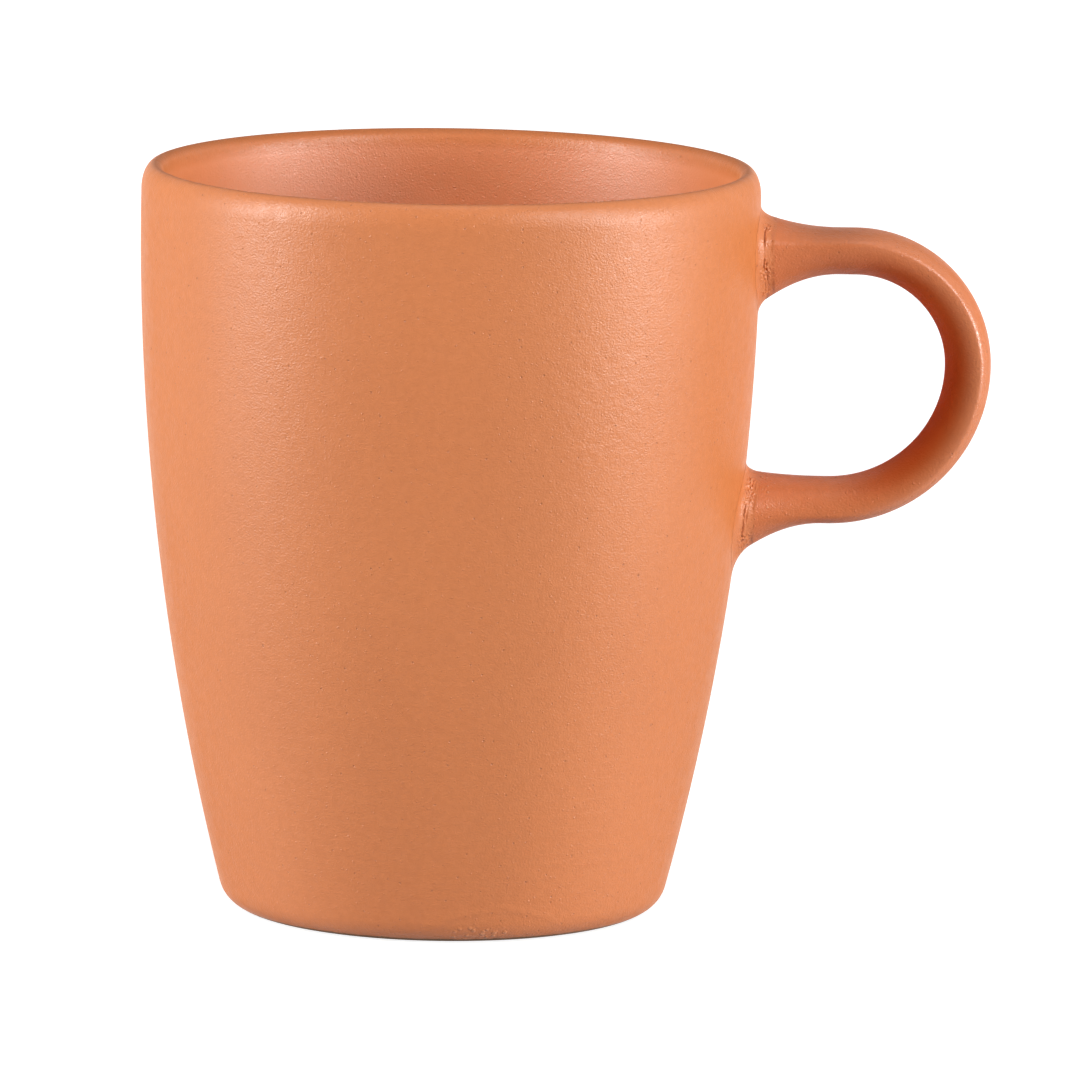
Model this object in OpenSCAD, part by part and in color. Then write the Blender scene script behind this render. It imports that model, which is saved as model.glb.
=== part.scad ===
// Handled coffee cup: a tapered body on a foot ring, a strap handle,
// and the two layers of slip that set the handle on the wall.
// Millimetres. The origin is on the cup's axis, on the surface it stands on. The handle points along +X.

/* [Body] */
// Height from the foot to the top of the lip
body_h = 99.3; // [85:0.1:120]
// Widest outside radius, just under the lip
body_r = 41; // [36:0.1:48]
// Depth of the widest place below the top of the lip
belly_drop = 7.3; // [5:0.1:20]
// Radius of the long upright curve of the outside wall
wall_arc_r = 356; // [300:1:500]
// Wall thickness under the lip
wall_top = 3.0; // [2.4:0.1:4]
// Wall thickness near the floor
wall_foot = 3.9; // [3:0.1:5]
// Thickness of the floor above the recess
floor_t = 4.4; // [3:0.1:7]
// Reach of the rounding between the floor and the inside wall
floor_round = 11; // [5:0.5:15]

/* [Lip] */
// Height of the outer rounding of the lip
lip_out_h = 3.4; // [2:0.1:4]
// Height of the inner rounding of the lip
lip_in_h = 2.2; // [1:0.1:4]
// Width of the outer rounding of the lip
lip_out_w = 1.7; // [1:0.1:2]

/* [Foot] */
// Radius of the rounded edge between the wall and the foot
foot_edge_r = 4.2; // [1.5:0.1:5.5]
// Width of the flat ring that the cup stands on
foot_ring_w = 3.2; // [2:0.1:5]
// Depth of the recess inside the foot ring
foot_recess = 1.6; // [0.8:0.1:2.5]
// Width of the sloping side of the recess
foot_slope_w = 1.8; // [1:0.1:3]

/* [Handle] */
// How far the handle stands out past the widest radius
handle_out = 30.8; // [26:0.1:38]
// Depth of the handle's outermost point below the top of the lip
handle_drop = 25.8; // [25:0.1:40]
// Radius of the upper bend, along the middle of the strap
upper_bend_r = 15.05; // [12:0.1:16.5]
// Radius of the lower bend, along the middle of the strap
lower_bend_r = 18.2; // [15:0.1:22]
// Thickness of the strap from its outer to its inner face
strap_t = 6.1; // [4.5:0.1:8]
// Width of the strap
strap_w = 11.0; // [8:0.1:15]
// Depth of the strap's outer face, from its crown to its widest line
strap_crown = 1.7; // [0.8:0.1:3]

/* [Handle ends] */
// Spread of the upper end, upwards
upper_flare_top = 1.6; // [0:0.1:3]
// Spread of the upper end, downwards
upper_flare_low = 3.5; // [0:0.1:6]
// Spread of the lower end, upwards
lower_flare_top = 0.6; // [0:0.1:4]
// Spread of the lower end, downwards
lower_flare_low = 3.9; // [0:0.1:6]
// Spread of each end, to each side
side_flare = 1.2; // [0:0.1:3]
// Length over which the ends spread
flare_len = 9.5; // [6:0.5:14]

/* [Slip joints] */
// Thickness of the slip between the wall and the end of the handle
slip_t = 0.9; // [0.5:0.1:1.5]
// How far the squeezed-out bead climbs along the handle
bead_climb = 1.3; // [0.6:0.1:2.5]
// Reach of the upper bead on the wall, above the handle
upper_bead_top = 1.2; // [0.6:0.1:2]
// Reach of the upper bead on the wall, below the handle
upper_bead_low = 1.8; // [0.6:0.1:5]
// Reach of the lower bead on the wall, above the handle
lower_bead_top = 1.2; // [0.6:0.1:3]
// Reach of the lower bead on the wall, below the handle
lower_bead_low = 3.0; // [0.6:0.1:6]
// Thickness of the bead at its edges
bead_edge = 0.15; // [0.1:0.05:0.4]
// Clearance between the slip and the pieces it joins
slip_gap = 0.03; // [0.02:0.01:0.08]

/* [Hidden] */
clay = [0.80, 0.48, 0.31];
slip_clay = [0.72, 0.41, 0.26];

// Steps along each curve, and sides round the strap
wall_steps = 28;
edge_steps = 9;
lip_steps = 12;
bend_steps = 15;
run_steps = 11;
bead_steps = 4;
cap_steps = 5;
strap_sides = 36;

// Outside of the wall: one long arc, upright at the widest place
belly_z = body_h - belly_drop;
arc_x = body_r - wall_arc_r;
function wall_r(z) = arc_x + sqrt(pow(wall_arc_r, 2) - pow(z - belly_z, 2));

// The foot's rounded edge is tangent to that arc and to the surface the cup stands on
foot_r = arc_x + sqrt(pow(wall_arc_r - foot_edge_r, 2) - pow(belly_z - foot_edge_r, 2));
foot_turn = atan2(foot_edge_r - belly_z, foot_r - arc_x);
foot_top_z = foot_edge_r + foot_edge_r * sin(foot_turn);
ring_in_r = foot_r - foot_ring_w;

// Inside of the wall, which thickens towards the floor
function wall_t(z) = wall_top + (wall_foot - wall_top) * pow((body_h - z) / body_h, 2);
function inside_r(z) = wall_r(z) - wall_t(z);
floor_z = foot_recess + floor_t;
round_z = floor_z + floor_round;

// The lip is two quarter ovals that meet on its crest
lip_out_z = body_h - lip_out_h;
lip_in_z = body_h - lip_in_h;
crest_r = wall_r(lip_out_z) - lip_out_w;
lip_in_w = crest_r - inside_r(lip_in_z);

// Shares from just above 0 up to 1
function shares(steps) = [for (i = [1:steps]) i / steps];

// Point at share t of a curve that leaves a towards b and comes to c from b
function curve(a, b, c, t) = (1 - t) * (1 - t) * a + 2 * t * (1 - t) * b + t * t * c;

// Half of the body's section, from the middle of the underside round to the middle of the floor
recess_rim = [ring_in_r - 2 * foot_slope_w, foot_recess];
recess_mid = [ring_in_r - foot_slope_w / 2, foot_recess / 2];
ring_start = [ring_in_r + foot_slope_w / 2, 0];
foot_points = [
    [0, foot_recess],
    recess_rim,
    for (t = shares(edge_steps)) curve(recess_rim, [ring_in_r - foot_slope_w, foot_recess], recess_mid, t),
    for (t = shares(edge_steps)) curve(recess_mid, [ring_in_r, 0], ring_start, t),
    [foot_r, 0],
    for (t = shares(edge_steps))
        let (a = -90 + t * (foot_turn + 90))
            [foot_r + foot_edge_r * cos(a), foot_edge_r + foot_edge_r * sin(a)]
];
wall_points = [
    for (t = shares(wall_steps))
        let (z = foot_top_z + t * (lip_out_z - foot_top_z))
            [wall_r(z), z]
];
lip_points = [
    for (t = shares(lip_steps)) [crest_r + lip_out_w * cos(90 * t), lip_out_z + lip_out_h * sin(90 * t)],
    for (t = shares(lip_steps)) [crest_r - lip_in_w * sin(90 * t), lip_in_z + lip_in_h * cos(90 * t)]
];
inside_points = [
    for (t = shares(wall_steps))
        let (z = lip_in_z + t * (round_z - lip_in_z))
            [inside_r(z), z],
    let (corner = [inside_r(floor_z), floor_z])
        for (t = shares(edge_steps))
            curve([inside_r(round_z), round_z], corner, corner - [floor_round, 0], t),
    [0, floor_z]
];

// Body: wall, floor and foot ring in one, turned about the cup's axis
module cup_body() {
    color(clay)
        rotate_extrude($fn = 144)
            polygon(concat(foot_points, wall_points, lip_points, inside_points));
}

// The lists below hold the handle's upper end first, then its lower end
UPPER = 0;
LOWER = 1;
ENDS = [UPPER, LOWER];
way = [1, -1];
bend_r = [upper_bend_r, lower_bend_r];
out_flare = [upper_flare_top, lower_flare_low];
in_flare = [upper_flare_low, lower_flare_top];
out_bead = [upper_bead_top, lower_bead_low];
in_bead = [upper_bead_low, lower_bead_top];

// Middle line of the strap: a level run from each end, and two bends that meet at the outermost point
mid_x = body_r + handle_out - strap_t / 2;
mid_z = body_h - handle_drop;
run_x = [for (e = ENDS) mid_x - bend_r[e]];
run_z = [for (e = ENDS) mid_z + way[e] * bend_r[e]];
run_len = [for (e = ENDS) run_x[e] - wall_r(run_z[e]) - slip_t];

// Section of the strap at angle a and distance d from the slip: [across, outwards].
// It is two half ovals, a shallow outer one and a deeper inner one, and it spreads towards the ends.
angles = [for (j = [0:strap_sides - 1]) 360 * j / strap_sides];
crown_base = strap_t / 2 - strap_crown;
function spread(d) = pow(max(0, 1 - d / flare_len), 2);
function strap_depth(e, d, a) =
    cos(a) > 0 ? strap_crown + out_flare[e] * spread(d) : strap_t - strap_crown + in_flare[e] * spread(d);
function section(e, d, a, grow = 0) = [
    (strap_w / 2 + side_flare * spread(d) + grow) * sin(a),
    crown_base + (strap_depth(e, d, a) + grow) * cos(a)
];

// Distance along X from the cup's axis plane to the wall
function wall_x(y, z) = sqrt(pow(wall_r(z), 2) - y * y);

// Ring of points round a run, at share t of its length. It eases from the curved wall to an upright plane.
// grow widens it, bead adds that share of the bead's reach, and sink brings it nearer to the wall.
function bead_reach(e, a) = (out_bead[e] + in_bead[e]) / 2 + cos(a) * (out_bead[e] - in_bead[e]) / 2;
function run_ring(e, t, grow = 0, bead = 0, sink = 0) = [
    for (a = angles)
        let (p = section(e, t * run_len[e], a, grow + bead * bead_reach(e, a)), z = run_z[e] + way[e] * p[1])
            [(1 - t) * (wall_x(p[0], z) + slip_t) + t * run_x[e] - sink, p[0], z]
];

// Ring of points round a bend. turn goes from 90 at the run to 0 at the outermost point.
function bend_ring(e, turn) = [
    let (d = run_len[e] + bend_r[e] * PI * (90 - turn) / 180)
        for (a = angles)
            let (p = section(e, d, a), r = bend_r[e] + p[1])
                [run_x[e] + r * cos(turn), p[0], mid_z + way[e] * r * sin(turn)]
];

// Rings that fill an end ring towards its middle, all at distance d from the wall
function ring_middle(ring) = [for (k = [1, 2]) (max([for (p = ring) p[k]]) + min([for (p = ring) p[k]])) / 2];
function on_wall(y, z, d) = [wall_x(y, z) + d, y, z];
function cap_point(ring, d) = let (m = ring_middle(ring)) on_wall(m[0], m[1], d);
function cap_rings(ring, d) = [
    let (m = ring_middle(ring))
        for (i = [1:cap_steps - 1])
            let (t = i / cap_steps)
                [for (p = ring) on_wall(m[0] + t * (p[1] - m[0]), m[1] + t * (p[2] - m[1]), d)]
];

// Skin over a row of rings, closed by a point at its start and one at its end
module skin(rings, start, end) {
    n = strap_sides;
    last = len(rings) - 1;
    first_cap = n * len(rings);
    points = concat([for (ring = rings) each ring], [start, end]);
    faces = [
        for (i = [0:last - 1], j = [0:n - 1])
            let (a = i * n + j, b = i * n + (j + 1) % n)
                each [[a, b, b + n], [a, b + n, a + n]],
        for (j = [0:n - 1])
            let (k = (j + 1) % n)
                each [[first_cap, k, j], [first_cap + 1, last * n + j, last * n + k]]
    ];
    polyhedron(points, faces);
}
function backwards(list) = [for (i = [len(list) - 1:-1:0]) list[i]];

// Share of a run at which its bead of slip ends, and all rings from one end of the handle to its outermost point
climb = [for (e = ENDS) bead_climb / run_len[e]];
function half_handle(e) = concat(
    cap_rings(run_ring(e, 0), slip_t),
    [run_ring(e, 0), run_ring(e, climb[e] / 2)],
    [for (i = [0:run_steps - 1]) run_ring(e, climb[e] + (1 - climb[e]) * i / run_steps)],
    [for (i = [0:bend_steps - 1]) bend_ring(e, 90 - 90 * i / bend_steps)]
);

// Handle: one strap from the upper slip round to the lower slip
module handle() {
    rings = concat(half_handle(UPPER), [bend_ring(LOWER, 0)], backwards(half_handle(LOWER)));
    color(clay)
        skin(rings, cap_point(run_ring(UPPER, 0), slip_t), cap_point(run_ring(LOWER, 0), slip_t));
}

// Slip joint: a layer between the wall and the handle, with a hollow-faced bead squeezed out round it
module slip_joint(e) {
    wall_ring = run_ring(e, 0, slip_gap, 1, slip_t - slip_gap);
    seat_ring = run_ring(e, 0, slip_gap, 0, slip_gap);
    seat_d = slip_t - slip_gap;
    edge_grow = slip_gap + bead_edge;
    bead_rings = [
        for (i = [0:bead_steps])
            let (a = 90 * i / bead_steps, rise = 1 - cos(a))
                run_ring(e, climb[e] * rise, edge_grow, 1 - sin(a), (slip_t - bead_edge) * (1 - rise))
    ];
    seat_rings = [run_ring(e, climb[e], slip_gap), run_ring(e, climb[e] / 2, slip_gap), seat_ring];
    rings = concat(
        cap_rings(wall_ring, slip_gap),
        [wall_ring],
        bead_rings,
        seat_rings,
        backwards(cap_rings(seat_ring, seat_d))
    );
    color(slip_clay)
        if (e == UPPER)
            skin(rings, cap_point(wall_ring, slip_gap), cap_point(seat_ring, seat_d));
        else
            skin(backwards(rings), cap_point(seat_ring, seat_d), cap_point(wall_ring, slip_gap));
}

module upper_slip_joint() {
    slip_joint(UPPER);
}

module lower_slip_joint() {
    slip_joint(LOWER);
}

cup_body();
handle();
upper_slip_joint();
lower_slip_joint();
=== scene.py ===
import math

import bmesh
import bpy
from mathutils import Matrix, Vector, noise


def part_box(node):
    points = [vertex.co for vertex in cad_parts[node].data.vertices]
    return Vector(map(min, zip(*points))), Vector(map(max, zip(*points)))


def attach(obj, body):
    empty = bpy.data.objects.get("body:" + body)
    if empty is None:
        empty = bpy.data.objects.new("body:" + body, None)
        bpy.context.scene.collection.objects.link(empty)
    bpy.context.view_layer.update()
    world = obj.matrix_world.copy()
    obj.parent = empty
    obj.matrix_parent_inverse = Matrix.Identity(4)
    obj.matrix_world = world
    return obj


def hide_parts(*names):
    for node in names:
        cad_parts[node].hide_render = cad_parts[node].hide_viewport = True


# A tall, tapered coffee mug in a matt terracotta glaze. The body is turned in one piece. The strap handle
# is set on its wall with slip, which squeezes out in a rough bead round each end.
# Metres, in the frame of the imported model: +Z up the mug's axis, +X along the handle, the foot on Z = 0.

MM = 0.001

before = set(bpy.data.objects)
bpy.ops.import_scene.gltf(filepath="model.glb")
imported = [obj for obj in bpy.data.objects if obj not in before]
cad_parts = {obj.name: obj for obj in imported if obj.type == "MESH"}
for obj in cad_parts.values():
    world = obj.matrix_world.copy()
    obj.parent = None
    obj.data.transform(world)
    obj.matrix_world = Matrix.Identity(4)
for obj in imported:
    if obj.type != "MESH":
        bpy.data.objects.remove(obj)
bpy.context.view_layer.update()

# Overall sizes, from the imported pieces
BODY_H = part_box("cup_body")[1].z
BODY_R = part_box("cup_body")[1].y
HANDLE_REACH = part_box("handle")[1].x

# Body: the outside wall is one long arc, upright at the belly, just under the lip
BELLY_Z = BODY_H - 7.3 * MM
WALL_ARC_R = 356 * MM
WALL_ARC_X = BODY_R - WALL_ARC_R

# Body: the inside wall is a slightly tighter arc, so the wall thickens towards the floor
WALL_T = 3.0 * MM
INSIDE_BELLY_Z = BODY_H - 6.85 * MM
INSIDE_ARC_R = 334.3 * MM
INSIDE_ARC_X = BODY_R - WALL_T - INSIDE_ARC_R
FLOOR_Z = 6.0 * MM
FLOOR_ROUND_R = 14.1 * MM

# Lip: two quarter ovals that meet on its crest
LIP_OUT_W = 1.7 * MM
LIP_OUT_H = 3.4 * MM
LIP_IN_H = 2.2 * MM

# Foot: a rounded edge, a flat ring to stand on and a shallow recess inside it
FOOT_EDGE_R = 4.2 * MM
FOOT_RING_W = 2.3 * MM
FOOT_RECESS = 1.6 * MM
FOOT_SLOPE_W = 4.5 * MM

# Strap handle: its section is a shallow outer half oval on a deeper inner one
STRAP_T = 6.1 * MM
STRAP_W = 11.0 * MM
STRAP_CROWN = 1.7 * MM
STRAP_MIDDLE = STRAP_T / 2 - STRAP_CROWN
STRAP_X = HANDLE_REACH - STRAP_T / 2
STRAP_Z = BODY_H - 25.8 * MM
SIDE_FLARE = 1.2 * MM
FLARE_LEN = 9.5 * MM

# Slip: the layer between the wall and the handle, the bead that it squeezes out, and its thinnest edge
SLIP_T = 0.9 * MM
BEAD_CLIMB = 1.3 * MM
FILM = 0.02 * MM

# Slip seam: where the squeezed slip has split on each side of the handle, and the crumbs left beside it.
# Places on the bead run from 0 at its edge on the wall to 1 at its edge on the handle.
SEAM_PLACE = 0.60
SEAM_WIDTH = 0.027
SEAM_DEPTH = 0.2 * MM
SEAM_SWAY = 0.06
SEAM_GRAIN = 2.2 * MM
SEAM_SIDE = (0.55, 0.9)
FRAY_SWAY = 0.035
FRAY_GRAIN = 0.5 * MM
FIRST_OPEN = (-0.35, 0.1)
FIRST_SHIFT = Vector((7, 0, 0))
SECOND_SPLIT = 0.1
SECOND_DEPTH = 0.16 * MM
SECOND_OPEN = (-0.1, 0.2)
SECOND_SHIFT = Vector((3, 5, 0))
CRUMB_GRAIN = 0.32 * MM
CRUMB_RISE = 0.18 * MM
CRUMB_PAST_SEAM = 0.03
CRUMB_SPREAD = 0.24
CRUMB_LUMPS = (0.0, 0.35)
CRUMB_LOOSE = (-0.5, 0.0)
CRUMB_SHIFT = Vector((0, 9, 4))
CRUMB_OUTWARD = (0.1, 0.5)
CRUMB_ACROSS = (0.35, 0.6)
SLIP_GRAIN = 3.5 * MM
SLIP_WAVE = 0.05 * MM
FACE_FROM_WALL = (0.0, 0.15)
FACE_FROM_HANDLE = (1.0, 0.85)

# Mesh steps
BODY_SIDES = 224
RECESS_STEPS = 8
SLOPE_STEPS = 7
RING_STEPS = 3
FOOT_EDGE_STEPS = 14
WALL_STEPS = 84
LIP_OUT_STEPS = 14
LIP_IN_STEPS = 12
INSIDE_STEPS = 66
FLOOR_ROUND_STEPS = 18
FLOOR_STEPS = 10
STRAP_SIDES = 96
BEND_STEPS = 36
RUN_STEPS = 26
SLIP_SIDES = 400
BEAD_ROWS = 56
CAP_SHARES = (0.75, 0.5, 0.25, 0.0)
MERGE_WITHIN = 0.0005 * MM
QUARTER_TURN = math.pi / 2


def wall_r(z):
    """Outside radius of the body at a height."""
    return WALL_ARC_X + math.sqrt(WALL_ARC_R ** 2 - (z - BELLY_Z) ** 2)


def wall_x(y, z):
    """Distance along X from the mug's middle plane to the outside wall."""
    return math.sqrt(wall_r(z) ** 2 - y ** 2)


def smooth_step(low, high, value):
    """Rises smoothly from 0 at low to 1 at high."""
    share = min(1.0, max(0.0, (value - low) / (high - low)))
    return share * share * (3 - 2 * share)


class HandleEnd:
    """One end of the handle: its bend, its level run to the wall, and how strap and slip spread there."""

    def __init__(self, way, bend_r, out_flare, in_flare, out_bead, in_bead):
        self.way = way
        self.out_flare = out_flare
        self.in_flare = in_flare
        self.bead_mean = (out_bead + in_bead) / 2
        self.bead_lean = (out_bead - in_bead) / 2
        self.run_x = STRAP_X - bend_r
        self.run_z = STRAP_Z + way * bend_r
        self.run_len = self.run_x - wall_r(self.run_z) - SLIP_T

    def section(self, along, across, outward, grow=0.0):
        """Place on the strap's section, (sideways, outwards), at a distance from the slip. across and
        outward are the point's place on a unit circle."""
        spread = max(0.0, 1 - along / FLARE_LEN) ** 2
        side = STRAP_W / 2 + SIDE_FLARE * spread
        if outward > 0:
            depth = STRAP_CROWN + self.out_flare * spread
        else:
            depth = STRAP_T - STRAP_CROWN + self.in_flare * spread
        return (side + grow) * across, STRAP_MIDDLE + (depth + grow) * outward

    def run_point(self, share, across, outward, grow=0.0, sink=0.0):
        """Place on the run, easing from the curved wall at share 0 to an upright plane at share 1."""
        y, out = self.section(share * self.run_len, across, outward, grow)
        z = self.run_z + self.way * out
        x = (1 - share) * (wall_x(y, z) + SLIP_T) + share * self.run_x - sink
        return Vector((x, y, z))

    def cap_point(self, share, across, outward, grow, lift):
        """Place on a layer over the wall, at a share of the way from the end's middle to its outline."""
        edge = self.run_point(0, across, outward, grow)
        top = self.run_point(0, 0, 1, grow).z
        low = self.run_point(0, 0, -1, grow).z
        y = share * edge.y
        z = (top + low) / 2 + share * (edge.z - (top + low) / 2)
        return Vector((wall_x(y, z) + lift, y, z))

    def bead_reach(self, outward):
        """How far the bead of slip spreads over the wall on that side of the strap."""
        return self.bead_mean + outward * self.bead_lean

    def bead_point(self, turn, across, outward):
        """Place on the bead's hollow face, from its edge on the wall to its edge on the handle."""
        rise = 1 - math.cos(turn)
        grow = FILM + (1 - math.sin(turn)) * self.bead_reach(outward)
        share = rise * BEAD_CLIMB / self.run_len
        return self.run_point(share, across, outward, grow, (SLIP_T - FILM) * (1 - rise))


UPPER = HandleEnd(
    way=1,
    bend_r=15.05 * MM,
    out_flare=1.6 * MM,
    in_flare=3.5 * MM,
    out_bead=1.2 * MM,
    in_bead=1.8 * MM,
)
LOWER = HandleEnd(
    way=-1,
    bend_r=18.2 * MM,
    out_flare=3.9 * MM,
    in_flare=0.6 * MM,
    out_bead=3.0 * MM,
    in_bead=1.2 * MM,
)


def draw_line(bm, tip, x, z, steps):
    """Draws a straight stretch of a section from its tip to (x, z) and returns the new tip."""
    start = tip.co.copy()
    end = Vector((x, 0, z))
    for step in range(steps):
        tip = bmesh.ops.extrude_vert_indiv(bm, verts=[tip])["verts"][0]
        tip.co = start.lerp(end, (step + 1) / steps)
    return tip


def draw_arc(bm, tip, x, z, turn, steps, stretch=(1, 1, 1)):
    """Turns a section's tip about (x, z), from +X towards +Z, and returns the new tip.
    stretch makes the arc an oval about that centre."""
    before = set(bm.verts)
    centre = Vector((x, 0, z))
    made = bmesh.ops.spin(bm, geom=[tip], cent=centre, axis=(0, 1, 0), angle=-turn, steps=steps)
    new = [v for v in bm.verts if v not in before]
    bmesh.ops.scale(bm, verts=new, vec=stretch, space=Matrix.Translation(-centre))
    return made["geom_last"][0]


def turned_body():
    """Draws half of the body's section, from under its middle round to the floor, and turns it."""
    foot_r = WALL_ARC_X + math.sqrt((WALL_ARC_R - FOOT_EDGE_R) ** 2 - (BELLY_Z - FOOT_EDGE_R) ** 2)
    foot_turn = math.atan2(FOOT_EDGE_R - BELLY_Z, foot_r - WALL_ARC_X)
    ring_in_r = foot_r - FOOT_RING_W
    recess_r = ring_in_r - FOOT_SLOPE_W
    slope_turn = 2 * math.atan2(FOOT_RECESS, FOOT_SLOPE_W)
    slope_r = (FOOT_RECESS ** 2 + FOOT_SLOPE_W ** 2) / (4 * FOOT_RECESS)
    lip_out_z = BODY_H - LIP_OUT_H
    lip_turn = math.asin((lip_out_z - BELLY_Z) / WALL_ARC_R)
    lip_out_oval = (1, 1, LIP_OUT_H / LIP_OUT_W)
    crest_r = wall_r(lip_out_z) - LIP_OUT_W
    lip_in_z = BODY_H - LIP_IN_H
    inside_turn = math.asin((lip_in_z - INSIDE_BELLY_Z) / INSIDE_ARC_R)
    lip_in_w = crest_r - INSIDE_ARC_X - INSIDE_ARC_R * math.cos(inside_turn)
    lip_in_oval = (lip_in_w / LIP_IN_H, 1, 1)
    round_z = FLOOR_Z + FLOOR_ROUND_R
    round_drop = round_z - INSIDE_BELLY_Z
    round_r = INSIDE_ARC_X + math.sqrt((INSIDE_ARC_R - FLOOR_ROUND_R) ** 2 - round_drop ** 2)
    round_turn = math.atan2(round_drop, round_r - INSIDE_ARC_X)

    bm = bmesh.new()
    tip = bmesh.ops.create_vert(bm, co=(0, 0, FOOT_RECESS))["vert"][0]
    tip = draw_line(bm, tip, recess_r, FOOT_RECESS, RECESS_STEPS)
    tip = draw_arc(bm, tip, recess_r, FOOT_RECESS - slope_r, -slope_turn, SLOPE_STEPS)
    tip = draw_arc(bm, tip, ring_in_r, slope_r, slope_turn, SLOPE_STEPS)
    tip = draw_line(bm, tip, foot_r, 0, RING_STEPS)
    tip = draw_arc(bm, tip, foot_r, FOOT_EDGE_R, QUARTER_TURN + foot_turn, FOOT_EDGE_STEPS)
    tip = draw_arc(bm, tip, WALL_ARC_X, BELLY_Z, lip_turn - foot_turn, WALL_STEPS)
    tip = draw_arc(bm, tip, crest_r, lip_out_z, QUARTER_TURN, LIP_OUT_STEPS, lip_out_oval)
    tip = draw_arc(bm, tip, crest_r, lip_in_z, QUARTER_TURN, LIP_IN_STEPS, lip_in_oval)
    tip = draw_arc(bm, tip, INSIDE_ARC_X, INSIDE_BELLY_Z, round_turn - inside_turn, INSIDE_STEPS)
    tip = draw_arc(bm, tip, round_r, round_z, -QUARTER_TURN - round_turn, FLOOR_ROUND_STEPS)
    draw_line(bm, tip, 0, FLOOR_Z, FLOOR_STEPS)
    bmesh.ops.spin(
        bm,
        geom=bm.verts[:] + bm.edges[:],
        cent=(0, 0, 0),
        axis=(0, 0, 1),
        angle=2 * math.pi,
        steps=BODY_SIDES,
        use_merge=True,
    )
    return bm


def unit_ring(bm, sides):
    """A ring of points that remember their place on a unit circle while they are moved and extruded."""
    across = bm.verts.layers.float.new("across")
    outward = bm.verts.layers.float.new("outward")
    ring = bmesh.ops.create_circle(bm, segments=sides, radius=1)["verts"]
    for v in ring:
        v[across] = v.co.y
        v[outward] = v.co.x
    return across, outward


def grow_ring(bm, loop, place):
    """Extrudes a loop of edges into the next ring, puts its points in place and returns its edges."""
    across = bm.verts.layers.float["across"]
    outward = bm.verts.layers.float["outward"]
    made = bmesh.ops.extrude_edge_only(bm, edges=loop)["geom"]
    new = {v for v in made if isinstance(v, bmesh.types.BMVert)}
    for v in new:
        v.co = place(v[across], v[outward])
    return [e for e in made if isinstance(e, bmesh.types.BMEdge) and all(v in new for v in e.verts)]


def strap_handle():
    """Spins the strap's section from the outermost point both ways, then runs each end on to the wall."""
    bm = bmesh.new()
    across, outward = unit_ring(bm, STRAP_SIDES)
    for v in bm.verts:
        side, out = UPPER.section(FLARE_LEN, v[across], v[outward])
        v.co = Vector((STRAP_X + out, side, STRAP_Z))
    middle = bm.verts[:] + bm.edges[:]
    for end in (UPPER, LOWER):
        bend = bmesh.ops.spin(
            bm,
            geom=middle,
            cent=(end.run_x, 0, STRAP_Z),
            axis=(0, 1, 0),
            angle=-end.way * QUARTER_TURN,
            steps=BEND_STEPS,
        )
        loop = [e for e in bend["geom_last"] if isinstance(e, bmesh.types.BMEdge)]
        for step in range(RUN_STEPS):
            share = 1 - (step + 1) / RUN_STEPS
            loop = grow_ring(bm, loop, lambda a, o: end.run_point(share, a, o))
        for share in CAP_SHARES:
            loop = grow_ring(bm, loop, lambda a, o: end.cap_point(share, a, o, 0, SLIP_T))
    return bm


def split_groove(bead, middle, width):
    """Share of a split's depth at a place on the bead."""
    return math.exp(-(((bead - middle) / width) ** 2))


def slip_relief(place, bead, across, outward):
    """How far the bead's face stands out at a place: two frayed splits and crumbs at the sides, and soft
    waves all over."""
    at_side = smooth_step(*SEAM_SIDE, abs(across))
    on_face = smooth_step(*FACE_FROM_WALL, bead) * smooth_step(*FACE_FROM_HANDLE, bead)
    along = Vector((0, place.y, place.z))
    sway = SEAM_SWAY * noise.noise(along / SEAM_GRAIN) + FRAY_SWAY * noise.noise(along / FRAY_GRAIN)
    first_open = smooth_step(*FIRST_OPEN, noise.noise(along / SEAM_GRAIN + FIRST_SHIFT))
    second_open = smooth_step(*SECOND_OPEN, noise.noise(along / SEAM_GRAIN + SECOND_SHIFT))
    first = SEAM_DEPTH * first_open * split_groove(bead, SEAM_PLACE + sway, SEAM_WIDTH)
    second_place = SEAM_PLACE + SECOND_SPLIT + sway
    second = SECOND_DEPTH * second_open * split_groove(bead, second_place, SEAM_WIDTH)
    lumps = smooth_step(*CRUMB_LUMPS, noise.noise(place / CRUMB_GRAIN))
    loose = smooth_step(*CRUMB_LOOSE, noise.noise(along / SEAM_GRAIN + CRUMB_SHIFT))
    by_ends = smooth_step(*CRUMB_OUTWARD, abs(outward)) * smooth_step(*CRUMB_ACROSS, abs(across))
    by_seam = split_groove(bead, SEAM_PLACE + CRUMB_PAST_SEAM, CRUMB_SPREAD)
    crumbs = CRUMB_RISE * lumps * loose * by_ends * by_seam
    waves = SLIP_WAVE * noise.noise(place / SLIP_GRAIN)
    return on_face * (crumbs - at_side * (first + second) + waves)


def close_mesh(bm):
    """Merges the points that meet at seams and poles, and turns all faces outwards."""
    bmesh.ops.remove_doubles(bm, verts=bm.verts[:], dist=MERGE_WITHIN)
    bmesh.ops.recalc_face_normals(bm, faces=bm.faces[:])


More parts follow.
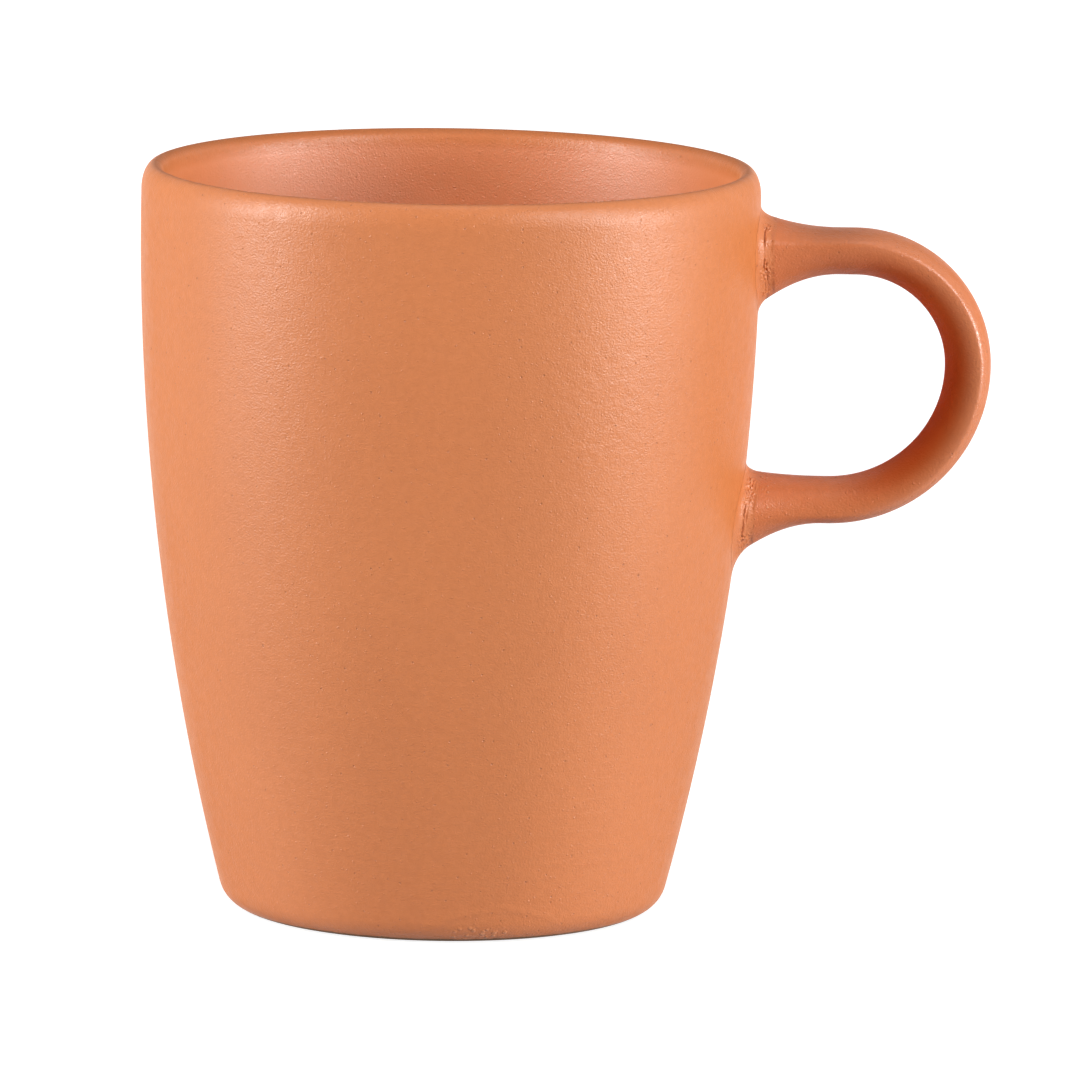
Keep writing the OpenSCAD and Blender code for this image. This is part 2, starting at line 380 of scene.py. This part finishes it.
def slip_joint(end):
    """A layer between wall and handle with the squeezed-out bead round it, and the bead's rough face."""
    bm = bmesh.new()
    bead_layer = bm.verts.layers.float.new("bead")
    relief_layer = bm.verts.layers.float.new("relief")
    across, outward = unit_ring(bm, SLIP_SIDES)
    rows = []
    for share in reversed(CAP_SHARES):
        rows.append((0, lambda a, o, s=share: end.cap_point(s, a, o, FILM + end.bead_reach(o), FILM)))
    for row in range(BEAD_ROWS + 1):
        bead = row / BEAD_ROWS
        rows.append((bead, lambda a, o, b=bead: end.bead_point(b * math.pi / 2, a, o)))
    climb = BEAD_CLIMB / end.run_len
    for share in (climb, climb / 2, 0):
        rows.append((1, lambda a, o, s=share: end.run_point(s, a, o, FILM / 2, FILM)))
    for share in CAP_SHARES:
        rows.append((1, lambda a, o, s=share: end.cap_point(s, a, o, FILM / 2, SLIP_T - FILM)))
    wall_edge = len(CAP_SHARES)
    handle_edge = wall_edge + BEAD_ROWS
    for v in bm.verts:
        v.co = rows[0][1](v[across], v[outward])
    loop = bm.edges[:]
    for number, (bead, place) in enumerate(rows[1:], 1):
        before = set(bm.verts)
        loop = grow_ring(bm, loop, place)
        for e in loop:
            e.smooth = number not in (wall_edge, handle_edge)
        for v in bm.verts:
            if v not in before:
                v[bead_layer] = bead
    close_mesh(bm)
    bm.normal_update()
    for v in bm.verts:
        v[relief_layer] = slip_relief(v.co, v[bead_layer], v[across], v[outward])
    for v in bm.verts:
        v.co += v.normal * v[relief_layer]
        v[relief_layer] /= MM
    return bm


def finished_piece(bm, name, finish, cad_node):
    """Makes the object of a piece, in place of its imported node."""
    close_mesh(bm)
    for face in bm.faces:
        face.smooth = True
    mesh = bpy.data.meshes.new(name)
    bm.to_mesh(mesh)
    bm.free()
    mesh.materials.append(finish)
    piece = bpy.data.objects.new(name, mesh)
    bpy.context.scene.collection.objects.link(piece)
    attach(piece, "root")
    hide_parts(cad_node)


def add_node(tree, kind, inputs=None, **settings):
    """Adds a shader node, sets its options, and sets or links its inputs."""
    made = tree.nodes.new(kind)
    for name, value in settings.items():
        setattr(made, name, value)
    for socket, value in (inputs or {}).items():
        if isinstance(value, bpy.types.NodeSocket):
            tree.links.new(value, made.inputs[socket])
        else:
            made.inputs[socket].default_value = value
    return made


def math_node(tree, operation, *values):
    """The result of a sum on numbers and sockets."""
    return add_node(tree, "ShaderNodeMath", dict(enumerate(values)), operation=operation).outputs[0]


def vector_node(tree, operation, *values):
    """The node of a sum on places."""
    return add_node(tree, "ShaderNodeVectorMath", dict(enumerate(values)), operation=operation)


def between(tree, value, low, high, to_low=0.0, to_high=1.0):
    """Maps a value between low and high on to a range, smoothly and held at its ends."""
    inputs = {"Value": value, "From Min": low, "From Max": high, "To Min": to_low, "To Max": to_high}
    return add_node(tree, "ShaderNodeMapRange", inputs, interpolation_type="SMOOTHSTEP").outputs["Result"]


def grain(tree, place, size, detail=2.0, roughness=0.5):
    """Noise whose lumps are about one size across."""
    inputs = {"Vector": place, "Scale": 1 / size, "Detail": detail, "Roughness": roughness}
    return add_node(tree, "ShaderNodeTexNoise", inputs).outputs["Fac"]


# Glaze colours, in linear red, green and blue
TERRACOTTA_DEEP = (0.580, 0.184, 0.059, 1)
TERRACOTTA_PALE = (0.630, 0.206, 0.068, 1)
HANDLE_DEEP = (0.580, 0.164, 0.050, 1)
HANDLE_PALE = (0.630, 0.184, 0.058, 1)
# Painted shade: a deeper red for the inside of the handle's loop
HANDLE_SHADE_RED = (0.640, 0.128, 0.028, 1)
SLIP_DEEP = (0.570, 0.174, 0.055, 1)
SLIP_PALE = (0.620, 0.196, 0.064, 1)
# Painted light: the inside's colour is painted paler, for the lamp light that reaches less of the inside
INSIDE_PAINTED_LIGHT = (0.730, 0.236, 0.079, 1)
# Partly painted shade: the crest's brown is darkened for the shaded line along its inner edge
LIP_BROWN = (0.470, 0.152, 0.054, 1)
IRON_SPECK = (0.220, 0.065, 0.025, 1)
CHALK_SPECK = (0.780, 0.360, 0.180, 1)
SEAM_SHADE = (0.330, 0.092, 0.032, 1)
BARE_CLAY = (0.300, 0.175, 0.105, 1)

# Glaze skin everywhere. Heights are in millimetres. Specks are given as spacing, size and the share of
# places that have one. A range says between which values a mark fades in.
DRIFT_SIZE = 26 * MM
DRIFT_RANGE = (0.35, 0.65)
DRIFT_SHARE = 0.35
MOTTLE_SIZE = 0.9 * MM
MOTTLE_RANGE = (0.3, 0.7)
MOTTLE_SHARE = 0.65
PEEL_SIZE = 0.29 * MM
PEEL_STRETCH = (1, 1, 1.2)
PEEL_HEIGHT = 0.07
DIMPLE_SIZE = 1.6 * MM
DIMPLE_HEIGHT = 0.03
SPECK_EDGE = (0.3, 0.6)
GRIT_SPECKS = (0.7 * MM, 0.28 * MM, 0.45)
GRIT_HEIGHT = 0.03
IRON_SPECKS = (5.0 * MM, 0.42 * MM, 0.25)
IRON_SHARE = 0.4
IRON_HEIGHT = -0.04
PIN_HOLES = (1.5 * MM, 0.3 * MM, 0.5)
PIN_HOLE_SHARE = 0.3
PIN_HOLE_HEIGHT = -0.05
PATCH_EDGE = (0.45, 1.0)
MATT_SIZE = 1.6 * MM
MATT_RANGE = (0.3, 0.7)
MATT_ROUGH = (0.34, 0.42)
MATT_SHINE = 0.47
EDGE_FACING = (0.3, 0.75)
EDGE_SHINE = 0.1

# Glaze inside the body: a clear liner that starts under the lip, over a colour painted paler as painted
# light. Depths are from the outside wall.
INSIDE_DEPTH = (1.4 * MM, 2.4 * MM)
INSIDE_BOTTOM = (4.5 * MM, 5.5 * MM)
INSIDE_TOP = (BODY_H - 3.0 * MM, BODY_H - 1.2 * MM)
INSIDE_SHINE = 1.0
INSIDE_DULLER = 0.09
INSIDE_PEEL = 0.01
LINER_ROUGH = 0.45
LINER_IOR = 1.6

# Brown along the lip's crest: the glaze runs thinner there, and the brown is also painted shade that
# darkens the crest's inner line
LIP_TOP = (BODY_H - 1.0 * MM, BODY_H - 0.2 * MM)
CREST_DEPTH = (0.9 * MM, 1.8 * MM)
CREST_SHARE = 0.75
LIP_SHINE = 0.1

# Marks of making on the body: turning lines, a scuffed patch, a run of glaze by the foot, and crumbs
TURNING_STRETCH = (0.05, 0.05, 1)
TURNING_SIZE = 0.9 * MM
TURNING_FADE = (8 * MM, 45 * MM)
TURNING_LEFT = 0.25
TURNING_HEIGHT = 0.05
SCUFF_PLACE = (19.6 * MM, -35.4 * MM, 72.2 * MM)
SCUFF_REACH = (9 * MM, 9 * MM, 12 * MM)
SCUFF_STRETCH = (1, 1, 1.6)
SCUFF_SIZE = 1.5 * MM
SCUFF_HEIGHT = 0.07
GLAZE_RUN_AROUND = math.radians(14)
GLAZE_RUN_Z = 4.0 * MM
GLAZE_RUN_ARCH = -27 * MM
GLAZE_RUN_GRAIN = 3 * MM
GLAZE_RUN_WANDER = 1.6 * MM
GLAZE_RUN_EDGE = (0.1 * MM, 0.9 * MM)
GLAZE_RUN_ENDS = (0.24, 0.34)
GLAZE_RUN_HEIGHT = 0.05
FOOT_CRUMBS = (0.9 * MM, 0.7 * MM, 0.9)
FOOT_CRUMB_PLACE = (5.3 * MM, -30 * MM, 1.5 * MM)
FOOT_CRUMB_REACH = (6.5 * MM, 5 * MM, 1.5 * MM)
FOOT_CRUMB_SHARE = 0.3
FOOT_CRUMB_HEIGHT = 0.12

# Bare clay under the foot, up to an uneven line where the glaze was wiped off
BARE_LINE = 0.42 * MM
BARE_WANDER = 0.35 * MM
BARE_GRAIN = 1.4 * MM
CLAY_SIZE = 0.25 * MM
CLAY_HEIGHT = 0.05
CLAY_ROUGHER = 0.3

# Handle: rubbed along the shoulders of its outside, painted a deeper red inside the loop as painted shade
# and drier there, with crumbs at its roots.
# Outward is a place on the strap's section, from -1 inside the loop to 1 outside it.
SHOULDER_INNER = (-0.2, 0.15)
SHOULDER_OUTER = (0.8, 0.4)
RUBBED_X = (50 * MM, 60 * MM)
RUBBED_SHINE = 0.75
RUBBED_GRAIN = 6 * MM
RUBBED_RANGE = (0.35, 0.65)
RUBBED_SMOOTHER = (0.07, 0.12)
# Inside the loop: where the painted shade lies, and how much rougher and duller the glaze is there
LOOP_INSIDE_OUTWARD = (0.0, -0.75)
LOOP_INSIDE_X = (50 * MM, 63 * MM)
LOOP_INSIDE_ROUGHER = 0.15
LOOP_INSIDE_SHINE = 0.1
ROOT_X = (46 * MM, 42.5 * MM)
ROOT_CRUMBS = (0.9 * MM, 0.34 * MM, 0.35)
ROOT_CRUMB_SHARE = 0.45
ROOT_CRUMB_HEIGHT = 0.07

# Slip: paler in patches along its edge on the wall, chalky on its crumbs, dark in its splits. Reliefs are
# in millimetres.
PALE_EDGE_BEAD = (0.22, 0.05)
PALE_EDGE_GRAIN = 1.5 * MM
PALE_EDGE_RANGE = (0.4, 0.6)
PALE_EDGE_SHARE = 0.25
CRUMB_RELIEF = (0.06, 0.2)
CRUMB_SHARE = 0.6
SPLIT_RELIEF = (-0.05, -0.2)
SPLIT_SHARE = 0.75


class Glaze:
    """A finish being built up: its colour, the height of its skin in millimetres, its roughness, its
    shine and the share of clear liner on it."""

    def __init__(self, name, deep, pale):
        self.finish = bpy.data.materials.new(name)
        self.finish.use_nodes = True
        self.tree = self.finish.node_tree
        self.tree.nodes.clear()
        self.place = add_node(self.tree, "ShaderNodeTexCoord").outputs["Object"]
        self.x, self.y, self.z = add_node(self.tree, "ShaderNodeSeparateXYZ", {0: self.place}).outputs
        self.colour = deep
        self.pale = pale
        self.height = 0.0
        self.rough = MATT_ROUGH[0]
        self.shine = MATT_SHINE
        self.liner = 0.0

    def paint(self, share, colour):
        """Lays a colour over the finish by a share."""
        inputs = {"Factor": share, 6: self.colour, 7: colour}
        self.colour = add_node(self.tree, "ShaderNodeMix", inputs, data_type="RGBA").outputs[2]

    def lift(self, share, rise):
        """Raises the skin by a share of a rise."""
        self.height = math_node(self.tree, "MULTIPLY_ADD", share, rise, self.height)

    def times(self, first, second):
        """The product of two shares."""
        return math_node(self.tree, "MULTIPLY", first, second)

    def near(self, centre, reach):
        """Share of an oval patch round a place, fading towards its edge."""
        away = vector_node(self.tree, "SUBTRACT", self.place, centre).outputs[0]
        scaled = vector_node(self.tree, "DIVIDE", away, reach).outputs[0]
        length = vector_node(self.tree, "LENGTH", scaled).outputs["Value"]
        return between(self.tree, length, *PATCH_EDGE, 1.0, 0.0)

    def stretched(self, shares):
        """The place with each axis scaled, for marks that run along the other axes."""
        return vector_node(self.tree, "MULTIPLY", self.place, shares).outputs[0]

    def made_on(self, attribute):
        """A value that the shape's own points carry."""
        return add_node(self.tree, "ShaderNodeAttribute", attribute_name=attribute).outputs["Fac"]

    def specks(self, spacing, size, share):
        """Sparse small round specks: a share of the cells of a field has one."""
        cells = add_node(self.tree, "ShaderNodeTexVoronoi", {"Vector": self.place, "Scale": 1 / spacing})
        full = SPECK_EDGE[0] * size / spacing
        gone = SPECK_EDGE[1] * size / spacing
        dot = between(self.tree, cells.outputs["Distance"], full, gone, 1.0, 0.0)
        pick = add_node(self.tree, "ShaderNodeSeparateColor", {"Color": cells.outputs["Color"]}).outputs[0]
        return self.times(dot, math_node(self.tree, "LESS_THAN", pick, share))

    def matt_skin(self):
        """Terracotta mottled finely, with an orange-peel skin, grit, iron specks and pin holes."""
        drift = between(self.tree, grain(self.tree, self.place, DRIFT_SIZE), *DRIFT_RANGE)
        lumps = grain(self.tree, self.place, MOTTLE_SIZE, detail=3.0, roughness=0.6)
        mottle = between(self.tree, lumps, *MOTTLE_RANGE)
        drift_share = self.times(drift, DRIFT_SHARE)
        self.paint(math_node(self.tree, "MULTIPLY_ADD", mottle, MOTTLE_SHARE, drift_share), self.pale)
        self.lift(grain(self.tree, self.stretched(PEEL_STRETCH), PEEL_SIZE), PEEL_HEIGHT)
        self.lift(self.specks(*GRIT_SPECKS), GRIT_HEIGHT)
        self.lift(grain(self.tree, self.place, DIMPLE_SIZE, detail=1.0), DIMPLE_HEIGHT)
        speck = self.specks(*IRON_SPECKS)
        self.paint(self.times(speck, IRON_SHARE), IRON_SPECK)
        self.lift(speck, IRON_HEIGHT)
        pin_hole = self.specks(*PIN_HOLES)
        self.paint(self.times(pin_hole, PIN_HOLE_SHARE), IRON_SPECK)
        self.lift(pin_hole, PIN_HOLE_HEIGHT)
        matt = grain(self.tree, self.place, MATT_SIZE)
        self.rough = between(self.tree, matt, *MATT_RANGE, *MATT_ROUGH)

    def fired(self):
        """Joins the finish up and returns its material. Its shine fades where it is seen edge on."""
        relief = {"Height": self.height, "Strength": 1.0, "Distance": MM}
        skin = add_node(self.tree, "ShaderNodeBump", relief)
        facing = add_node(self.tree, "ShaderNodeLayerWeight", {"Blend": 0.5}).outputs["Facing"]
        edge = between(self.tree, facing, *EDGE_FACING, 1.0, EDGE_SHINE)
        inputs = {
            "Base Color": self.colour,
            "Roughness": self.rough,
            "Specular IOR Level": self.times(edge, self.shine),
            "Coat Weight": self.liner,
            "Coat Roughness": LINER_ROUGH,
            "Coat IOR": LINER_IOR,
            "Normal": skin.outputs[0],
        }
        shader = add_node(self.tree, "ShaderNodeBsdfPrincipled", inputs)
        add_node(self.tree, "ShaderNodeOutputMaterial", {"Surface": shader.outputs[0]})
        return self.finish


def body_finish():
    """The body's glaze: lined inside and painted paler there as painted light, brown on the lip's crest
    where the glaze runs thinner and with painted shade, left bare on the foot by wiping, with a few marks
    of making."""
    glaze = Glaze("body_glaze", TERRACOTTA_DEEP, TERRACOTTA_PALE)
    tree = glaze.tree
    glaze.matt_skin()
    radius = vector_node(tree, "LENGTH", glaze.stretched((1, 1, 0))).outputs["Value"]
    drop = math_node(tree, "SUBTRACT", glaze.z, BELLY_Z)
    wall = math_node(tree, "MULTIPLY_ADD", glaze.times(drop, drop), -0.5 / WALL_ARC_R, BODY_R)
    depth = math_node(tree, "SUBTRACT", wall, radius)
    above_foot = between(tree, glaze.z, *INSIDE_BOTTOM)
    under_lip = between(tree, glaze.z, *INSIDE_TOP, 1.0, 0.0)
    inside = glaze.times(glaze.times(between(tree, depth, *INSIDE_DEPTH), above_foot), under_lip)
    # Painted light: the inside is painted paler to stand in for light that reaches less of it
    glaze.paint(inside, INSIDE_PAINTED_LIGHT)
    glaze.liner = inside
    peel = grain(tree, glaze.place, PEEL_SIZE, roughness=0.55)
    glaze.lift(glaze.times(inside, peel), INSIDE_PEEL)
    glaze.rough = math_node(tree, "MULTIPLY_ADD", inside, INSIDE_DULLER, glaze.rough)

    lip = between(tree, glaze.z, *LIP_TOP)
    crest = glaze.times(lip, between(tree, depth, *CREST_DEPTH))
    # Brown on the crest: partly thinner glaze, partly painted shade along the crest's inner line
    glaze.paint(glaze.times(crest, CREST_SHARE), LIP_BROWN)
    shine = between(tree, inside, 0.0, 1.0, MATT_SHINE, INSIDE_SHINE)
    glaze.shine = math_node(tree, "MULTIPLY_ADD", crest, LIP_SHINE - MATT_SHINE, shine)

    turning = grain(tree, glaze.stretched(TURNING_STRETCH), TURNING_SIZE, roughness=0.6)
    low = between(tree, glaze.z, *TURNING_FADE, 1.0, TURNING_LEFT)
    glaze.lift(glaze.times(turning, low), TURNING_HEIGHT)

    scuff = glaze.near(SCUFF_PLACE, SCUFF_REACH)
    ripple = grain(tree, glaze.stretched(SCUFF_STRETCH), SCUFF_SIZE, detail=1.0)
    glaze.lift(glaze.times(ripple, scuff), SCUFF_HEIGHT)

    around = math_node(tree, "ARCTAN2", glaze.x, glaze.times(glaze.y, -1.0))
    off_middle = math_node(tree, "SUBTRACT", around, GLAZE_RUN_AROUND)
    bow = glaze.times(off_middle, off_middle)
    arch_z = math_node(tree, "MULTIPLY_ADD", bow, GLAZE_RUN_ARCH, GLAZE_RUN_Z)
    sway = grain(tree, glaze.place, GLAZE_RUN_GRAIN)
    run_z = math_node(tree, "MULTIPLY_ADD", sway, GLAZE_RUN_WANDER, arch_z)
    off_run = math_node(tree, "ABSOLUTE", math_node(tree, "SUBTRACT", glaze.z, run_z))
    run = between(tree, off_run, *GLAZE_RUN_EDGE, 1.0, 0.0)
    ends = between(tree, math_node(tree, "ABSOLUTE", off_middle), *GLAZE_RUN_ENDS, 1.0, 0.0)
    glaze.lift(glaze.times(run, ends), GLAZE_RUN_HEIGHT)

    crumbs = glaze.times(glaze.specks(*FOOT_CRUMBS), glaze.near(FOOT_CRUMB_PLACE, FOOT_CRUMB_REACH))
    glaze.paint(glaze.times(crumbs, FOOT_CRUMB_SHARE), CHALK_SPECK)
    glaze.lift(crumbs, FOOT_CRUMB_HEIGHT)

    edge = math_node(tree, "MULTIPLY_ADD", grain(tree, glaze.place, BARE_GRAIN), BARE_WANDER, BARE_LINE)
    bare = math_node(tree, "LESS_THAN", glaze.z, edge)
    glaze.paint(bare, BARE_CLAY)
    clay = grain(tree, glaze.place, CLAY_SIZE, detail=3.0, roughness=0.7)
    glaze.lift(glaze.times(clay, bare), CLAY_HEIGHT)
    glaze.rough = math_node(tree, "MULTIPLY_ADD", bare, CLAY_ROUGHER, glaze.rough)
    return glaze.fired()


def handle_finish():
    """The handle's glaze: painted a deeper red inside the loop as painted shade, and drier there, rubbed a
    little smoother along its outside.
    """
    glaze = Glaze("handle_glaze", HANDLE_DEEP, HANDLE_PALE)
    tree = glaze.tree
    glaze.matt_skin()
    outward = glaze.made_on("outward")
    shoulder = glaze.times(between(tree, outward, *SHOULDER_INNER), between(tree, outward, *SHOULDER_OUTER))
    rubbed = glaze.times(shoulder, between(tree, glaze.x, *RUBBED_X))
    loop_inside = glaze.times(between(tree, outward, *LOOP_INSIDE_OUTWARD), between(tree, glaze.x, *LOOP_INSIDE_X))
    # Painted shade: the inside of the loop is painted a deeper red for the shade that falls there
    glaze.paint(loop_inside, HANDLE_SHADE_RED)
    glaze.rough = math_node(tree, "MULTIPLY_ADD", loop_inside, LOOP_INSIDE_ROUGHER, glaze.rough)
    shine = between(tree, loop_inside, 0.0, 1.0, MATT_SHINE, LOOP_INSIDE_SHINE)
    glaze.shine = math_node(tree, "MULTIPLY_ADD", rubbed, RUBBED_SHINE - MATT_SHINE, shine)
    patch = between(tree, grain(tree, glaze.place, RUBBED_GRAIN), *RUBBED_RANGE)
    smoother = between(tree, patch, 0.0, 1.0, *RUBBED_SMOOTHER)
    glaze.rough = math_node(tree, "SUBTRACT", glaze.rough, glaze.times(rubbed, smoother))
    root = between(tree, glaze.x, *ROOT_X)
    crumbs = glaze.times(glaze.specks(*ROOT_CRUMBS), root)
    glaze.paint(glaze.times(crumbs, ROOT_CRUMB_SHARE), CHALK_SPECK)
    glaze.lift(crumbs, ROOT_CRUMB_HEIGHT)
    return glaze.fired()


def slip_finish():
    """The glaze on the squeezed slip: dark in the seam's splits, chalky on its crumbs, and paler in patches
    along its edge on the wall."""
    glaze = Glaze("slip_glaze", SLIP_DEEP, SLIP_PALE)
    tree = glaze.tree
    glaze.matt_skin()
    relief = glaze.made_on("relief")
    bead = glaze.made_on("bead")
    patches = between(tree, grain(tree, glaze.place, PALE_EDGE_GRAIN), *PALE_EDGE_RANGE)
    # Paler in patches along the bead's edge on the wall
    pale_edge = glaze.times(between(tree, bead, *PALE_EDGE_BEAD), patches)
    glaze.paint(glaze.times(pale_edge, PALE_EDGE_SHARE), CHALK_SPECK)
    glaze.paint(between(tree, relief, *CRUMB_RELIEF, 0.0, CRUMB_SHARE), CHALK_SPECK)
    glaze.paint(between(tree, relief, *SPLIT_RELIEF, 0.0, SPLIT_SHARE), SEAM_SHADE)
    return glaze.fired()


# Camera, at the photograph's viewing angle. Turns are in radians, the lens and its sensor in millimetres.
CAMERA_BACK = 1.586
CAMERA_UP = 0.3051
CAMERA_TURN = 0.0078
CAMERA_DIP = 0.1599
CAMERA_ROLL = 0.0140
CAMERA_LENS = 403.15
CAMERA_SENSOR = 36

# Lamps: azimuth and elevation in degrees, distance, width and height in metres, power in watts, and
# whether the glaze mirrors it
LAMPS = (
    ("left_softbox", -74, 6, 1.6, 0.45, 0.6, 20, True),
    ("left_high_softbox", -67, 28, 1.6, 0.4, 0.5, 12, True),
    ("right_softbox", 73, 5, 1.6, 0.5, 0.5, 21.2, True),
    ("right_high_softbox", 48, 28, 1.6, 0.4, 0.5, 12, True),
    ("top_softbox", 0, 82, 1.6, 0.6, 0.6, 3, True),
    ("back_softbox", 180, 3, 2.2, 1.4, 0.35, 18, False),
)
AMBIENT = 0.02

# Floor: just under the foot, so that the two faces don't flicker, and white from some way off
FLOOR_DROP = 0.05 * MM
FLOOR_R = 6.0
FLOOR_SIDES = 96
FLOOR_GREY = (0.42, 0.42, 0.42, 1)
FLOOR_FADE = (0.15, 0.7)
FLOOR_GLOW = (0.85, 1.0)


def place_camera():
    """Puts the camera in front of the mug, looking a little down on it."""
    camera = bpy.data.objects.new("camera", bpy.data.cameras.new("camera"))
    camera.data.lens = CAMERA_LENS
    camera.data.sensor_width = CAMERA_SENSOR
    turn = Matrix.Rotation(-CAMERA_TURN, 4, "Z")
    dip = Matrix.Rotation(math.pi / 2 - CAMERA_DIP, 4, "X")
    roll = Matrix.Rotation(CAMERA_ROLL, 4, "Z")
    camera.matrix_world = Matrix.Translation((0, -CAMERA_BACK, CAMERA_UP)) @ turn @ dip @ roll
    bpy.context.scene.collection.objects.link(camera)
    bpy.context.scene.camera = camera


def softbox(name, azimuth, elevation, distance, width, height, power, glint):
    """A rectangular soft lamp that faces the mug. Azimuth 0 is at the camera, positive to its right.
    A lamp without glint lights the glaze but isn't mirrored in it."""
    lamp = bpy.data.lights.new(name, "AREA")
    lamp.shape = "RECTANGLE"
    lamp.size = width
    lamp.size_y = height
    lamp.energy = power
    holder = bpy.data.objects.new(name, lamp)
    a = math.radians(azimuth)
    e = math.radians(elevation)
    way = Vector((math.sin(a) * math.cos(e), -math.cos(a) * math.cos(e), math.sin(e)))
    aim = Vector((0, 0, BODY_H / 2))
    holder.location = aim + way * distance
    holder.rotation_euler = way.to_track_quat("Z", "Y").to_euler()
    holder.visible_camera = False
    holder.visible_glossy = glint
    bpy.context.scene.collection.objects.link(holder)


def background_rays(tree):
    """1 for the rays that show the background: from the camera, in gloss and through glass."""
    rays = add_node(tree, "ShaderNodeLightPath")
    seen = math_node(tree, "MAXIMUM", rays.outputs["Is Camera Ray"], rays.outputs["Is Glossy Ray"])
    return math_node(tree, "MAXIMUM", seen, rays.outputs["Is Transmission Ray"])


def white_surroundings():
    """White where it is seen, and a faint plain light elsewhere."""
    world = bpy.data.worlds.new("studio")
    bpy.context.scene.world = world
    world.use_nodes = True
    tree = world.node_tree
    tree.nodes.clear()
    seen = background_rays(tree)
    strength = between(tree, seen, 0.0, 1.0, AMBIENT, 1.0)
    glow = add_node(tree, "ShaderNodeBackground", {"Color": (1, 1, 1, 1), "Strength": strength})
    add_node(tree, "ShaderNodeOutputWorld", {"Surface": glow.outputs[0]})


def pale_floor():
    """A pale floor that takes the mug's soft shadow."""
    bm = bmesh.new()
    level = Matrix.Translation((0, 0, -FLOOR_DROP))
    bmesh.ops.create_circle(bm, cap_ends=True, segments=FLOOR_SIDES, radius=FLOOR_R, matrix=level)
    mesh = bpy.data.meshes.new("floor")
    bm.to_mesh(mesh)
    bm.free()
    floor = bpy.data.objects.new("floor", mesh)
    bpy.context.scene.collection.objects.link(floor)
    paper = bpy.data.materials.new("white_paper")
    paper.use_nodes = True
    tree = paper.node_tree
    tree.nodes.clear()
    matt = add_node(tree, "ShaderNodeBsdfDiffuse", {"Color": FLOOR_GREY})
    place = add_node(tree, "ShaderNodeTexCoord").outputs["Object"]
    away = vector_node(tree, "LENGTH", place).outputs["Value"]
    white = between(tree, away, *FLOOR_FADE, *FLOOR_GLOW)
    strength = math_node(tree, "MULTIPLY", background_rays(tree), white)
    glow = add_node(tree, "ShaderNodeEmission", {"Strength": strength})
    both = add_node(tree, "ShaderNodeAddShader", {0: matt.outputs[0], 1: glow.outputs[0]})
    add_node(tree, "ShaderNodeOutputMaterial", {"Surface": both.outputs[0]})
    mesh.materials.append(paper)


body_glaze = body_finish()
handle_glaze = handle_finish()
slip_glaze = slip_finish()

finished_piece(turned_body(), "turned_body", body_glaze, "cup_body")
finished_piece(strap_handle(), "strap_handle", handle_glaze, "handle")
finished_piece(slip_joint(UPPER), "upper_slip_bead", slip_glaze, "upper_slip_joint")
finished_piece(slip_joint(LOWER), "lower_slip_bead", slip_glaze, "lower_slip_joint")

place_camera()
for lamp in LAMPS:
    softbox(*lamp)
white_surroundings()
pale_floor()

bpy.context.scene.view_settings.view_transform = "Standard"
